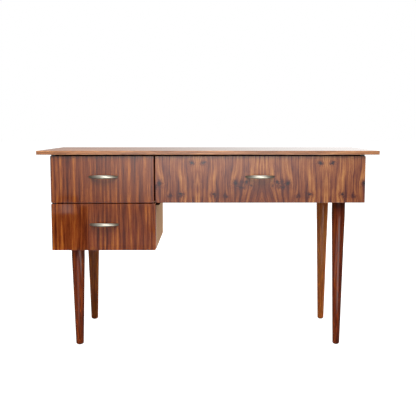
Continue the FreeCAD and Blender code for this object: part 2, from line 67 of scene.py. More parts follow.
class Graph:
    """One material's node tree, with short calls for the nodes that the woods and metals use."""

    def __init__(self, name):
        self.material = bpy.data.materials.new(name)
        self.material.use_nodes = True
        self.tree = self.material.node_tree
        self.tree.nodes.clear()
        self.output = self.tree.nodes.new("ShaderNodeOutputMaterial")

    def new(self, kind, **settings):
        node = self.tree.nodes.new("ShaderNode" + kind)
        for key, value in settings.items():
            setattr(node, key, value)
        return node

    def feed(self, socket, value):
        """Links a socket, or sets it to a constant."""
        if isinstance(value, bpy.types.NodeSocket):
            self.tree.links.new(value, socket)
        else:
            socket.default_value = value

    def math(self, operation, *values, clamp=False):
        node = self.new("Math", operation=operation, use_clamp=clamp)
        for socket, value in zip(node.inputs, values):
            self.feed(socket, value)
        return node.outputs[0]

    def add(self, *values):
        total = values[0]
        for value in values[1:]:
            total = self.math("ADD", total, value)
        return total

    def scaled(self, value, factor):
        return self.math("MULTIPLY", value, factor)

    def squares(self, first, second):
        return self.math("MULTIPLY_ADD", first, first, self.math("MULTIPLY", second, second))

    def centred(self, value, gain):
        """A 0..1 pattern turned into a swing about zero."""
        return self.math("MULTIPLY_ADD", value, gain, -0.5 * gain)

    def smooth(self, value, low, high):
        """0 below low, 1 above high, smooth between; low may be above high."""
        node = self.new("MapRange", interpolation_type="SMOOTHSTEP")
        for socket, given in zip(node.inputs, (value, low, high, 0.0, 1.0)):
            self.feed(socket, given)
        return node.outputs[0]

    def axes(self):
        """The object's own coordinates, which are the desk's at rest."""
        coordinates = self.new("TexCoord")
        parts = self.new("SeparateXYZ")
        self.feed(parts.inputs[0], coordinates.outputs["Object"])
        return parts.outputs[0], parts.outputs[1], parts.outputs[2]

    def vector(self, x, y, z):
        node = self.new("CombineXYZ")
        for socket, value in zip(node.inputs, (x, y, z)):
            self.feed(socket, value)
        return node.outputs[0]

    def noise(self, vector, scale, detail=2.0, roughness=0.5, distortion=0.0):
        node = self.new("TexNoise")
        self.feed(node.inputs["Vector"], vector)
        settings = {"Scale": scale, "Detail": detail, "Roughness": roughness, "Distortion": distortion}
        for key, value in settings.items():
            node.inputs[key].default_value = value
        return node.outputs["Fac"]

    def patches(self, place, scales, offset, detail=2.0, roughness=0.5, distortion=0.0):
        """Noise with its own scale on each of two or three axes; the offset moves it along the third."""
        parts = [self.scaled(value, scale) for value, scale in zip(place, scales)]
        third = self.add(parts[2], offset) if len(parts) == 3 else offset
        return self.noise(self.vector(parts[0], parts[1], third), 1.0, detail, roughness, distortion)

    def ramp(self, factor, stops, interpolation="LINEAR"):
        node = self.new("ValToRGB")
        ramp = node.color_ramp
        ramp.interpolation = interpolation
        while len(ramp.elements) < len(stops):
            ramp.elements.new(0.5)
        for element, (position, colour) in zip(ramp.elements, stops):
            element.position = position
            element.color = rgba(colour if isinstance(colour, tuple) else (colour, colour, colour))
        self.feed(node.inputs[0], factor)
        return node.outputs[0]

    def mix(self, factor, first, second, blend="MIX"):
        node = self.new("Mix", data_type="RGBA", blend_type=blend)
        self.feed(node.inputs["Factor"], factor)
        self.feed(node.inputs[6], rgba(first))
        self.feed(node.inputs[7], rgba(second))
        return node.outputs[2]

    def lines(self, value, marks, gain):
        """Soft lines at given places: (place, strength, half width) in order, not touching."""
        total = 0.0
        for first in range(0, len(marks), RAMP_LINES):
            part = marks[first:first + RAMP_LINES]
            start = part[0][0] - part[0][2]
            span = part[-1][0] + part[-1][2] - start
            stops = []
            for place, strength, width in part:
                stops += [(place - width, 0.0), (place, strength), (place + width, 0.0)]
            stops = [((place - start) / span, level) for place, level in stops]
            position = self.math("DIVIDE", self.math("SUBTRACT", value, start), span)
            total = self.math("MULTIPLY_ADD", self.ramp(position, stops, "EASE"), gain, total)
        return total

    def bump(self, height, strength, distance):
        node = self.new("Bump")
        node.inputs["Strength"].default_value = strength
        node.inputs["Distance"].default_value = distance
        self.feed(node.inputs["Height"], height)
        return node.outputs[0]

    def principled(self, **values):
        shader = self.new("BsdfPrincipled")
        for key, value in values.items():
            self.feed(shader.inputs[key.replace("_", " ")], rgba(value))
        self.tree.links.new(shader.outputs[0], self.output.inputs[0])


def edge_distance(g, place, low, high):
    """How far a point on a board's surface is from the nearest arris, in metres."""
    spans = []
    for value, start, end in zip(place, low, high):
        from_start = g.math("SUBTRACT", value, start)
        from_end = g.math("SUBTRACT", end, value)
        spans.append(g.math("MINIMUM", from_start, from_end))
    smaller = g.math("MINIMUM", spans[0], spans[1])
    larger = g.math("MAXIMUM", spans[0], spans[1])
    return g.math("MAXIMUM", smaller, g.math("MINIMUM", larger, spans[2]))


# ---------------------------------------------------------------- wood

PORE_TINT = (0.3, 0.2, 0.18)
EDGE_RED = (0.9, 0.6, 0.4)           # darker and redder along the arrises
EDGE_WIDTH = 0.002
COAT_ROUGHNESS = 0.05
RELIEF_STRENGTH = 0.10
RELIEF_DEPTH = 0.0003


def grain_axes(place, along):
    """(across, along, depth) for a grain direction."""
    order = {"x": (2, 0, 1), "y": (0, 1, 2), "z": (0, 2, 1)}[along]
    return tuple(place[i] for i in order)


def pored(g, colour, hair, depth):
    """Darkens the finest grain lines, where the pores are open."""
    pore = g.smooth(hair, 0.40, 0.28)
    return g.mix(g.scaled(pore, depth), colour, PORE_TINT, "MULTIPLY")


def tinted_edges(g, colour, node, place, ripple, tint, width):
    """Tints a board's arrises in a line of about this width, which wavers with the grain; a lighter tint paints a
    highlight.
    """
    low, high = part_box(node)
    inward = g.add(edge_distance(g, place, low, high), g.centred(ripple, width))
    near = g.smooth(inward, width, 0.2 * width)
    return g.mix(near, colour, g.mix(1.0, colour, tint, "MULTIPLY"))


def surface(g, colour, place, roughness, smudging, coat, relief):
    """Smudged sheen and fine relief under a clear coat of this weight; smudging is the sheen's swing."""
    smudge = g.noise(g.vector(*place), 9.0, detail=3.0, roughness=0.6)
    sheen = g.math("MULTIPLY_ADD", smudge, smudging, roughness - 0.5 * smudging)
    g.principled(Base_Color=colour, Roughness=sheen, Coat_Weight=coat, Coat_Roughness=COAT_ROUGHNESS,
                 Specular_IOR_Level=0.0, Normal=g.bump(relief, RELIEF_STRENGTH, RELIEF_DEPTH))
    return g.material


def wood(name, node, along, palette, seed, period=0.008, swing=1.0, waviness=0.004, streaks=None, coat=0.0,
         roughness=0.4, edge_tint=EDGE_RED, edge_width=EDGE_WIDTH, painted_gap_shade=None, painted_glare=None):
    """Straight-grained wood: broad bands, stripes, fine lines and pores; node is the board whose arrises are tinted.

    period is the stripes' width and swing their contrast. painted_gap_shade is (y, tint) for what lies in front of y,
    painted shade for the gaps between the fronts, and painted_glare is a second, greyer palette for the right half of
    the desk, painted in for the glare that washes out its colour.
    """
    g = Graph(name)
    place = g.axes()
    across, length, depth = grain_axes(place, along)
    shift = seed * 3.7
    drift = g.patches((across, length, depth), (4.0, 2.6, 4.0), offset=shift)
    wave = g.patches((across, length, depth), (22.0, 13.0, 22.0), offset=shift)
    moved = g.add(across, g.centred(drift, waviness * 4.0), g.centred(wave, waviness))

    def stripes(size, stretch, offset, detail):
        """Streaks of about this width, this many times longer than wide."""
        scales = (1.0 / size, 1.0 / (size * stretch), 0.5 / size)
        return g.patches((moved, length, depth), scales, shift + offset, detail, roughness=0.55)

    broad = stripes(period * 5.0, 14.0, 0.0, 1.0)
    medium = stripes(period, 30.0, 11.0, 3.0)
    fine = stripes(period * 0.3, 40.0, 23.0, 1.0)
    hair = stripes(0.0007, 16.0, 37.0, 1.0)
    tone = g.add(0.5, g.centred(broad, 0.8 * swing), g.centred(medium, 1.7 * swing), g.centred(fine, swing),
                 g.centred(hair, 0.25 * swing))
    if streaks is not None:
        tone = g.add(tone, streaks(g, moved, length))
    colour = g.ramp(tone, palette)
    # painted glare: the right half takes a greyer palette, as the reflection there washes the colour out
    if painted_glare is not None:
        rightwards = g.smooth(g.add(place[0], g.centred(drift, 0.3)), -0.60, 0.25)
        colour = g.mix(rightwards, colour, g.ramp(tone, painted_glare))
    colour = pored(g, colour, hair, 0.5)
    if node is not None:
        colour = tinted_edges(g, colour, node, place, medium, edge_tint, edge_width)
    # painted shade: darkens what lies in front of the given y, which shows in the gaps between the fronts
    if painted_gap_shade is not None:
        edge, shade = painted_gap_shade
        colour = g.mix(g.smooth(place[1], edge + 0.001, edge), colour, shade, "MULTIPLY")
    relief = g.add(g.scaled(fine, 0.4), g.scaled(hair, 0.6))
    return surface(g, colour, place, roughness, smudging=0.16, coat=coat, relief=relief)


# Palettes run from the darkest grain line to the lightest.
STRIPED = [(0.0, (0.058, 0.010, 0.004)), (0.25, (0.110, 0.021, 0.007)), (0.5, (0.165, 0.036, 0.009)),
           (0.75, (0.235, 0.061, 0.013)), (1.0, (0.36, 0.112, 0.021))]
# A darker copy of STRIPED for the lower front: painted shade, as less light reaches it lower down.
STRIPED_PAINTED_SHADE = [(0.0, (0.050, 0.008, 0.003)), (0.25, (0.098, 0.018, 0.005)), (0.5, (0.152, 0.031, 0.007)),
                (0.75, (0.220, 0.052, 0.010)), (1.0, (0.34, 0.098, 0.016))]
FIGURED = [(0.0, (0.072, 0.015, 0.012)), (0.25, (0.140, 0.034, 0.017)), (0.5, (0.212, 0.059, 0.021)),
           (0.75, (0.290, 0.098, 0.031)), (1.0, (0.42, 0.172, 0.050))]
HONEY = [(0.0, (0.13, 0.038, 0.014)), (0.3, (0.215, 0.076, 0.027)), (0.6, (0.32, 0.125, 0.045)),
         (1.0, (0.47, 0.215, 0.088))]
TOP = [(0.0, (0.180, 0.052, 0.017)), (0.3, (0.285, 0.098, 0.034)), (0.6, (0.40, 0.155, 0.056)),
       (1.0, (0.52, 0.24, 0.10))]
# A darker, greyer copy of TOP for the top's right half: painted glare, for the reflection that washes its colour out
# there.
TOP_PAINTED_GLARE = [(0.0, (0.085, 0.046, 0.030)), (0.3, (0.130, 0.075, 0.050)), (0.6, (0.180, 0.110, 0.075)),
             (1.0, (0.26, 0.170, 0.120))]
LEG = [(0.0, (0.031, 0.0035, 0.001)), (0.35, (0.074, 0.010, 0.002)), (0.65, (0.124, 0.020, 0.003)),
       (1.0, (0.207, 0.043, 0.005))]
# The back legs' palettes are lighter copies of LEG: partly their own wood, partly painted light that lifts them out
# of the desk's shade.
LEG_OLIVE_PAINTED_LIGHT = [(0.0, (0.068, 0.012, 0.003)), (0.35, (0.170, 0.036, 0.006)), (0.65, (0.275, 0.069, 0.010)),
             (1.0, (0.39, 0.120, 0.018))]
LEG_GOLDEN_PAINTED_LIGHT = [(0.0, (0.185, 0.038, 0.008)), (0.35, (0.355, 0.087, 0.016)), (0.65, (0.51, 0.155, 0.030)),
              (1.0, (0.64, 0.235, 0.050))]
# the back legs take the lighter copies: partly painted light
LEG_PALETTES = {"leg_back_left": LEG_OLIVE_PAINTED_LIGHT, "leg_back_right": LEG_GOLDEN_PAINTED_LIGHT}
TAN = [(0.0, (0.16, 0.090, 0.045)), (0.4, (0.24, 0.145, 0.080)), (0.7, (0.30, 0.19, 0.11)),
       (1.0, (0.38, 0.25, 0.155))]
# A paler board for the lower box's visible right side, made paler still as painted light in place of fill from the
# right.
PALE_TAN_PAINTED_LIGHT = [(0.0, (0.36, 0.210, 0.120)), (0.5, (0.50, 0.313, 0.189)), (1.0, (0.64, 0.43, 0.275))]
BEECH = [(0.0, (0.34, 0.19, 0.095)), (0.4, (0.47, 0.29, 0.155)), (0.7, (0.56, 0.37, 0.21)),
         (1.0, (0.66, 0.46, 0.28))]
# Painted shade: the cleat under the carcass is coloured as dark as the shadow it sits in.
CLEAT_PAINTED_SHADE = [(0.0, (0.010, 0.004, 0.002)), (0.5, (0.028, 0.011, 0.006)), (1.0, (0.060, 0.025, 0.012))]
# Painted shade: the carcass's front edges, seen in the gaps between the fronts, are darkened like the gaps' shadow.
PAINTED_GAP_SHADE = (FRONT_Y + 0.0195, (0.09, 0.045, 0.03))    # the carcass's front edges, behind the fronts, are dark

LINE_GAIN = 0.36          # how far a line of full strength moves the grain's tone

# Lines of the left fronts' veneer: (x, strength, half width).
GOLD_LINES = [(-0.588, 0.8, 0.006), (-0.573, 1.0, 0.006), (-0.558, 0.8, 0.006), (-0.541, 0.6, 0.006),
              (-0.507, 1.0, 0.008), (-0.480, 0.3, 0.008), (-0.445, 0.8, 0.010), (-0.430, 0.3, 0.004),
              (-0.407, 0.6, 0.006), (-0.391, 0.8, 0.005), (-0.377, 0.7, 0.006), (-0.361, 0.9, 0.006),
              (-0.346, 0.7, 0.007), (-0.330, 0.4, 0.006), (-0.296, 1.0, 0.008), (-0.268, 0.4, 0.007),
              (-0.238, 0.8, 0.010), (-0.221, 0.5, 0.006)]
DARK_LINES = [(-0.595, 0.7, 0.004), (-0.581, 0.6, 0.005), (-0.566, 0.3, 0.005), (-0.548, 0.6, 0.005),
              (-0.532, 1.0, 0.009), (-0.489, 0.7, 0.007), (-0.465, 0.5, 0.008), (-0.455, 0.4, 0.005),
              (-0.418, 0.7, 0.009), (-0.399, 0.7, 0.005), (-0.384, 0.5, 0.005), (-0.369, 0.4, 0.005),
              (-0.337, 0.5, 0.005), (-0.320, 1.0, 0.008), (-0.277, 0.7, 0.007), (-0.256, 0.5, 0.008),
              (-0.247, 0.4, 0.005), (-0.212, 0.5, 0.006)]


def left_streaks(g, across, length):
    """The left fronts' gold and dark lines run on from one front to the next, fading in and out."""
    fade = g.patches((across, length), (70.0, 7.0), offset=7.0, detail=1.0)
    quiet = g.math("MULTIPLY", g.smooth(across, -0.45, -0.53), g.smooth(length, 0.58, 0.54))
    lines = g.math("SUBTRACT", g.lines(across, GOLD_LINES, LINE_GAIN), g.lines(across, DARK_LINES, LINE_GAIN))
    strength = g.math("MULTIPLY", g.math("MULTIPLY_ADD", fade, 2.4, -0.2), g.math("MULTIPLY_ADD", quiet, -0.35, 1.0))
    return g.math("MULTIPLY_ADD", lines, strength, g.scaled(quiet, 0.07))


# ---------------------------------------------------------------- figured veneer of the right front

LEAF_CENTRE = 0.2037      # x of the middle joint between the veneer leaves
LEAF_WIDTH = 0.2434       # each leaf mirrors its neighbour

# Lines across one leaf: (distance from the middle joint, strength, half width).
LEAF_GOLD = [(0.004, 0.4, 0.004), (0.016, 0.3, 0.005), (0.038, 1.0, 0.006), (0.060, 0.3, 0.005), (0.078, 0.3, 0.005),
             (0.100, 0.3, 0.006), (0.122, 0.3, 0.005), (0.1465, 0.7, 0.005), (0.1575, 0.8, 0.005),
             (0.178, 0.8, 0.007), (0.192, 0.7, 0.005), (0.211, 0.4, 0.004), (0.2345, 1.0, 0.007)]
LEAF_DARK = [(0.010, 0.3, 0.004), (0.027, 0.6, 0.006), (0.048, 0.4, 0.005), (0.068, 1.0, 0.006), (0.089, 0.9, 0.006),
             (0.111, 0.6, 0.005), (0.139, 0.6, 0.005), (0.152, 0.2, 0.003), (0.167, 0.8, 0.006), (0.185, 0.3, 0.004),
             (0.203, 0.6, 0.004), (0.220, 0.6, 0.007), (0.242, 0.4, 0.004)]

# Small dark knots in one leaf: (distance from the middle joint, height on the desk, radius, darkness).
KNOTS = [(0.221, 0.713, 0.0044, 1.3), (0.229, 0.711, 0.0030, 0.5), (0.213, 0.718, 0.0028, 0.4),
         (0.0985, 0.637, 0.0062, 1.5), (0.058, 0.643, 0.0042, 1.0), (0.064, 0.636, 0.0036, 0.7),
         (0.075, 0.641, 0.0034, 0.6), (0.066, 0.621, 0.0044, 0.7), (0.080, 0.620, 0.0044, 0.9),
         (0.040, 0.628, 0.0050, 1.0), (0.180, 0.597, 0.0046, 1.2), (0.187, 0.596, 0.0034, 0.7),
         (0.176, 0.585, 0.0034, 0.7), (0.142, 0.591, 0.0044, 0.6), (0.134, 0.585, 0.0046, 0.6)]

KNOT_COLOUR = (0.016, 0.008, 0.012)
KNOT_RAGGEDNESS = 0.020   # how far a knot's outline strays
KNOT_REACH = 1.7          # the bent grain's half width, in knot radii
KNOT_BEND = 0.8           # how far the grain is pushed aside, as a share of its distance
KNOT_HALO = 0.45          # darkness of the bent grain beside the knot's own

# Where the grain swirls in one leaf: (distance from the middle joint, height, half width, half height).
BURLS = [(0.076, 0.632, 0.040, 0.017), (0.218, 0.714, 0.014, 0.007), (0.182, 0.592, 0.014, 0.007),
         (0.138, 0.588, 0.012, 0.006)]


def burl_strength(g, s, z):
    """1 in the middle of each burl, fading out round it."""
    total = 0.0
    for distance, height, half_width, half_height in BURLS:
        across = g.math("DIVIDE", g.math("SUBTRACT", s, distance), half_width)
        up = g.math("DIVIDE", g.math("SUBTRACT", z, height), half_height)
        total = g.add(g.math("EXPONENT", g.scaled(g.squares(across, up), -1.0)), total)
    return total


def with_knots(g, s, z, moved, spots, rags, wave):
    """Bends the grain round each knot, and adds the knot to the dark spots and its halo to the shade."""
    shade = 0.0
    for distance, height, radius, darkness in KNOTS:
        dx = g.add(g.math("SUBTRACT", s, distance), g.centred(rags[0], KNOT_RAGGEDNESS))
        dz = g.add(g.math("SUBTRACT", z, height), g.centred(rags[1], KNOT_RAGGEDNESS))
        square = g.squares(dx, dz)
        reach = KNOT_REACH * radius
        bend = g.math("DIVIDE", -KNOT_BEND * reach * reach, g.math("ADD", square, reach * reach))
        moved = g.math("MULTIPLY_ADD", dx, bend, moved)
        shade = g.math("MULTIPLY_ADD", g.math("MULTIPLY", bend, bend), KNOT_HALO * darkness, shade)
        uneven = g.math("MULTIPLY", square, g.math("MULTIPLY_ADD", wave, 4.0, -1.0))
        heart = g.math("EXPONENT", g.scaled(uneven, -1.0 / (radius * radius)))
        spots = g.math("MULTIPLY_ADD", heart, darkness, spots)
    return moved, spots, shade


def figured_veneer(name, node):
    """Four mirrored leaves of veneer with gold and dark lines, and grain that swirls round small knots."""
    g = Graph(name)
    x, y, z = g.axes()
    s = g.math("PINGPONG", g.math("SUBTRACT", x, LEAF_CENTRE), LEAF_WIDTH)
    drift = g.patches((s, z), (9.0, 6.0), offset=1.0)
    wave = g.patches((s, z), (45.0, 30.0), offset=4.0, detail=3.0, roughness=0.6)
    own = g.patches((x, z), (26.0, 14.0), offset=21.0)
    rag = g.patches((x, z), (170.0, 150.0), offset=31.0, detail=3.0, roughness=0.7)
    other_rag = g.patches((x, z), (170.0, 150.0), offset=47.0, detail=3.0, roughness=0.7)
    swirl = g.patches((x, z), (95.0, 95.0), offset=61.0, detail=2.0, roughness=0.6)
    curl = g.patches((x, z), (80.0, 110.0), offset=77.0, detail=1.0, roughness=0.6, distortion=1.2)

    # The grain wavers, swirls in the burls, and near the middle joint leans over more and more from 0.73 m down.
    fall = g.math("POWER", g.math("MAXIMUM", g.math("MULTIPLY_ADD", z, -6.0, 4.38), 0.0), 1.5)
    lean = g.math("MULTIPLY", g.scaled(fall, -0.019), g.smooth(s, 0.145, 0.085))
    burl = burl_strength(g, s, z)
    moved = g.add(s, lean, g.centred(drift, 0.012), g.centred(wave, 0.004), g.centred(own, 0.007),
                  g.math("MULTIPLY", burl, g.centred(swirl, 0.016)))

    # Dark specks, thin veins in the burls, and the knots.
    vein = g.math("MULTIPLY", burl, g.smooth(g.math("ABSOLUTE", g.math("SUBTRACT", curl, 0.5)), 0.080, 0.015))
    speck = g.math("MULTIPLY", g.smooth(rag, 0.60, 0.70), g.smooth(own, 0.50, 0.66))
    spots = g.math("MULTIPLY_ADD", vein, 0.25, g.scaled(speck, 0.45))
    moved, spots, shade = with_knots(g, s, z, moved, spots, (rag, other_rag), wave)

    def stripes(size, stretch, offset, detail):
        """Streaks of about this width, this many times longer than wide."""
        scales = (1.0 / size, 1.0 / (size * stretch), 0.5 / size)
        return g.patches((moved, z, y), scales, offset, detail, roughness=0.6)

    broad = stripes(0.030, 3.0, 1.0, 2.0)
    medium = stripes(0.0060, 20.0, 3.0, 2.0)
    fine = stripes(0.0028, 55.0, 9.0, 2.0)
    hair = stripes(0.0007, 14.0, 17.0, 1.0)
    grain = g.add(g.centred(broad, 0.9), g.centred(medium, 1.3), g.centred(fine, 1.45), g.centred(hair, 0.3))
    fade = g.patches((s, z), (60.0, 12.0), offset=13.0, detail=1.0)
    lines = g.math("SUBTRACT", g.lines(moved, LEAF_GOLD, gain=0.28), g.lines(moved, LEAF_DARK, gain=0.34))
    lighter_right = g.scaled(g.smooth(x, 0.15, 0.55), 0.12)
    # painted shade: darker towards the bottom, where less light reaches the front
    painted_shade_below = g.scaled(g.smooth(z, 0.70, 0.57), -0.18)
    darker_foot = g.scaled(g.math("MULTIPLY", g.smooth(s, 0.050, 0.010), g.smooth(z, 0.635, 0.600)), -0.14)
    burl_tone = g.math("MULTIPLY", burl, g.math("MULTIPLY_ADD", other_rag, -0.9, 0.32))
    tone = g.add(0.55, g.math("MULTIPLY", lines, g.scaled(fade, 2.0)), lighter_right, grain, darker_foot,
                 painted_shade_below, g.scaled(shade, -1.0), burl_tone, g.scaled(vein, -0.42))
    colour = g.ramp(tone, FIGURED)
    colour = g.mix(g.math("MULTIPLY", spots, 0.95, clamp=True), colour, KNOT_COLOUR)
    colour = pored(g, colour, hair, 0.4)
    colour = tinted_edges(g, colour, node, (x, y, z), medium, EDGE_RED, EDGE_WIDTH)
    return surface(g, colour, (x, y, z), roughness=0.38, smudging=0.12, coat=1.0, relief=g.add(fine, hair))


# ---------------------------------------------------------------- metal and plastic

NICKEL = (0.68, 0.65, 0.55)
# the patina's colour towards the ends, also used as painted shade on the bow's lower half
NICKEL_PATINA_AND_SHADE = (0.15, 0.127, 0.085)
ZINC = (0.60, 0.61, 0.63)
NYLON = (0.50, 0.44, 0.36)


def brushed_metal(name, colour, roughness, seed):
    """Metal with fine brush lines along x and duller patches of tarnish."""
    g = Graph(name)
    x, y, z = g.axes()
    lines = g.patches((z, x, y), (2600.0, 60.0, 2600.0), offset=seed)
    tarnish = g.patches((z, x, y), (90.0, 60.0, 90.0), offset=seed, detail=3.0, roughness=0.6)
    dull = tuple(channel * 0.62 for channel in colour)
    tint = g.mix(g.smooth(tarnish, 0.45, 0.75), colour, dull)
    g.principled(Base_Color=tint, Metallic=1.0, Roughness=g.math("MULTIPLY_ADD", lines, 0.16, roughness - 0.08),
                 Normal=g.bump(lines, 0.10, 0.0001))
    return g.material


def handle_metal(name, node, seed):
    """Warm nickel, brushed lengthwise, with a dark patina towards the ends and painted shade along its lower half."""
    g = Graph(name)
    x, y, z = g.axes()
    low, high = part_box(node)
    centre = (low + high) / 2
    lines = g.patches((x, y, z), (60.0, 2600.0, 2600.0), offset=seed)
    blotch = g.patches((x, y, z), (60.0, 90.0, 90.0), offset=seed, detail=3.0, roughness=0.6)
    outward = g.math("ABSOLUTE", g.math("SUBTRACT", x, centre.x))
    ends = g.smooth(g.add(outward, g.centred(blotch, 0.008)), 0.010, 0.050)
    # painted shade: the lower half of the bow is darkened in place of the dark that it reflects
    below = g.smooth(g.add(z, g.centred(blotch, 0.002)), centre.z - 0.0010, centre.z - 0.0045)
    patina_and_painted_shade = g.math("MAXIMUM", g.scaled(ends, 0.8), below)
    colour = g.mix(patina_and_painted_shade, NICKEL, NICKEL_PATINA_AND_SHADE)
    g.principled(Base_Color=colour, Metallic=1.0, Roughness=g.math("MULTIPLY_ADD", patina_and_painted_shade, 0.12, 0.34),
                 Normal=g.bump(lines, 0.06, 0.0001))
    return g.material


def plain_plastic(name, colour):
    """Moulded plastic with a fine grain and patches of wear."""
    g = Graph(name)
    place = g.vector(*g.axes())
    grain = g.noise(place, 900.0, 2.0)
    patch = g.noise(place, 60.0, 3.0)
    worn = tuple(channel * 0.7 for channel in colour)
    g.principled(Base_Color=g.mix(g.smooth(patch, 0.4, 0.7), colour, worn),
                 Roughness=g.math("MULTIPLY_ADD", patch, 0.2, 0.45), Normal=g.bump(grain, 0.1, 0.0001))
    return g.material


# ---------------------------------------------------------------- a material for every CAD node

def material_for(node, slot, seed):
    """The right front has its own veneer; every other node's finish comes from its slot in the record."""
    if node == "right_drawer_front":
        return figured_veneer("figured_veneer", node)
    if slot == "striped_veneer":
        # the lower front takes the darker copy: painted shade
        palette = STRIPED if node.startswith("upper") else STRIPED_PAINTED_SHADE
        return wood(node + "_veneer", node, "z", palette, 3.0, period=0.0055, swing=0.95, waviness=0.0025,
                    streaks=left_streaks, coat=1.0, roughness=0.35)
    if slot == "desktop_veneer":
        return wood(node + "_veneer", node, "x", TOP, 5.0, period=0.012, swing=0.8, waviness=0.006, coat=0.8,
                    roughness=0.42, painted_glare=TOP_PAINTED_GLARE)
    if slot == "lipping":
        along = "y" if node.endswith(("left", "right")) else "x"
        # The lipping's arrises are tinted lighter and greyer: a painted highlight.
        return wood(node + "_wood", node, along, HONEY, seed, period=0.004, coat=1.0, roughness=0.42,
                    edge_tint=(1.25, 1.3, 1.35), edge_width=0.0018)
    if slot == "side_veneer":
        return wood(node + "_veneer", node, "y", STRIPED, 9.0, period=0.010, waviness=0.006, coat=0.8, roughness=0.4,
                    painted_gap_shade=PAINTED_GAP_SHADE)
    if slot == "leg_wood":
        palette = LEG_PALETTES.get(node, LEG)
        return wood(node + "_wood", None, "z", palette, seed, period=0.005, swing=0.8, coat=0.4, roughness=0.35)
    # the box's right side: a paler board, partly painted light
    if node == "box_side_right":
        return wood(node + "_veneer", node, "z", PALE_TAN_PAINTED_LIGHT, seed, period=0.008, swing=0.6, roughness=0.8)
    if slot == "tan_board":
        return wood(node + "_veneer", node, "y", TAN, seed, period=0.008, swing=0.6, roughness=0.6, painted_gap_shade=PAINTED_GAP_SHADE)
    if slot == "back_ply":
        return wood(node + "_wood", node, "x", TAN, seed, period=0.016, swing=0.9, waviness=0.012, roughness=0.6)
    if slot in ("drawer_wood", "drawer_ply", "hardwood"):
        low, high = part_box(node)
        size = high - low
        along = "x" if size.x > size.y else "y"
        return wood(node + "_wood", node, along, BEECH, seed, period=0.010, swing=0.7, waviness=0.008, coat=0.15,
                    roughness=0.5, edge_tint=(0.85, 0.8, 0.75))
    # painted shade on the cleat
    if slot == "dark_cleat":
        return wood(node + "_wood", node, "y", CLEAT_PAINTED_SHADE, seed, period=0.004, roughness=0.6)
    if slot == "handle_metal":
        return handle_metal(node + "_nickel", node, seed)
    if slot == "zinc_steel":
        return brushed_metal(node + "_zinc", ZINC, 0.35, seed)
    return plain_plastic(node + "_nylon", NYLON)


SEED_STEP = 0.73          # sets each node's grain apart from the next one's
SLOTS = {part["node"]: part["material_slot"] for part in frame["record"]["subparts"]}

for index, (node_name, node_object) in enumerate(sorted(NODES.items())):
    node_object.data.materials.clear()
    node_object.data.materials.append(material_for(node_name, SLOTS[node_name], 1.0 + index * SEED_STEP))


# ---------------------------------------------------------------- handles

HANDLE_SECTIONS = 72
HANDLE_POINTS = 28        # round each section
HANDLE_FOOT = 0.0125      # length of each foot on the front
HANDLE_THICKNESS = 0.006  # at the middle of the bow
HANDLE_ROUNDING = 0.78    # 1 would make each section an ellipse, 0 a rectangle


def arc_through(half_width, depth):
    """Radius and half angle of an arc of this half chord and height."""
    radius = (half_width ** 2 + depth ** 2) / (2 * depth)
    return radius, math.asin(half_width / radius)


def bow_handle(node, body):
    """A bow handle swept between its outer and inner arcs, with rounded sections and flat feet."""
    low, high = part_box(node)
    half = (high.x - low.x) / 2
    depth = high.y - low.y
    middle_height = (high.z - low.z) / 2
    end_height = middle_height / 2
    outer_radius, outer_angle = arc_through(half, depth)
    inner_radius, inner_angle = arc_through(half - HANDLE_FOOT, depth - HANDLE_THICKNESS)
    centre = Vector(((low.x + high.x) / 2, high.y, (low.z + high.z) / 2))
    mesh = bmesh.new()
    rings = []
    for i in range(HANDLE_SECTIONS + 1):
        t = -1.0 + 2.0 * i / HANDLE_SECTIONS
        outer = Vector((outer_radius * math.sin(t * outer_angle),
                        outer_radius * (1 - math.cos(t * outer_angle)) - depth))
        inner = Vector((inner_radius * math.sin(t * inner_angle),
                        inner_radius * (1 - math.cos(t * inner_angle)) - depth + HANDLE_THICKNESS))
        middle = (outer + inner) / 2
        reach = (outer - inner) / 2
        height = middle_height - (middle_height - end_height) * (middle.x / half) ** 2
        ring = []
        for j in range(HANDLE_POINTS):
            angle = 2 * math.pi * j / HANDLE_POINTS
            c = math.cos(angle)
            s = math.sin(angle)
            u = math.copysign(abs(c) ** HANDLE_ROUNDING, c)
            v = math.copysign(abs(s) ** HANDLE_ROUNDING, s)
            point = middle + reach * u
            ring.append(mesh.verts.new(centre + Vector((point.x, min(point.y, 0.0), height * v))))
        rings.append(ring)
    for first, second in zip(rings, rings[1:]):
        for j in range(HANDLE_POINTS):
            k = (j + 1) % HANDLE_POINTS
            mesh.faces.new((first[j], first[k], second[k], second[j]))
    mesh.faces.new(rings[0][::-1])
    mesh.faces.new(rings[-1])
    bmesh.ops.recalc_face_normals(mesh, faces=mesh.faces)
    return finished(mesh, node + "_bow", node, body, NODES[node].data.materials[0])


def finished(mesh, name, node, body, material):
    """Turns a bmesh into a smooth-shaded piece that stands for a CAD node."""
    data = bpy.data.meshes.new(name)
    mesh.to_mesh(data)
    mesh.free()
    data.polygons.foreach_set("use_smooth", [True] * len(data.polygons))
    data.materials.append(material)
    piece = bpy.data.objects.new(name, data)
    bpy.context.collection.objects.link(piece)
    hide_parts(node)
    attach(piece, body)
    return piece


for drawer in ("upper_left_drawer", "right_drawer", "lower_left_drawer"):
    bow_handle(drawer + "_handle", drawer)


# ---------------------------------------------------------------- floor, light and camera

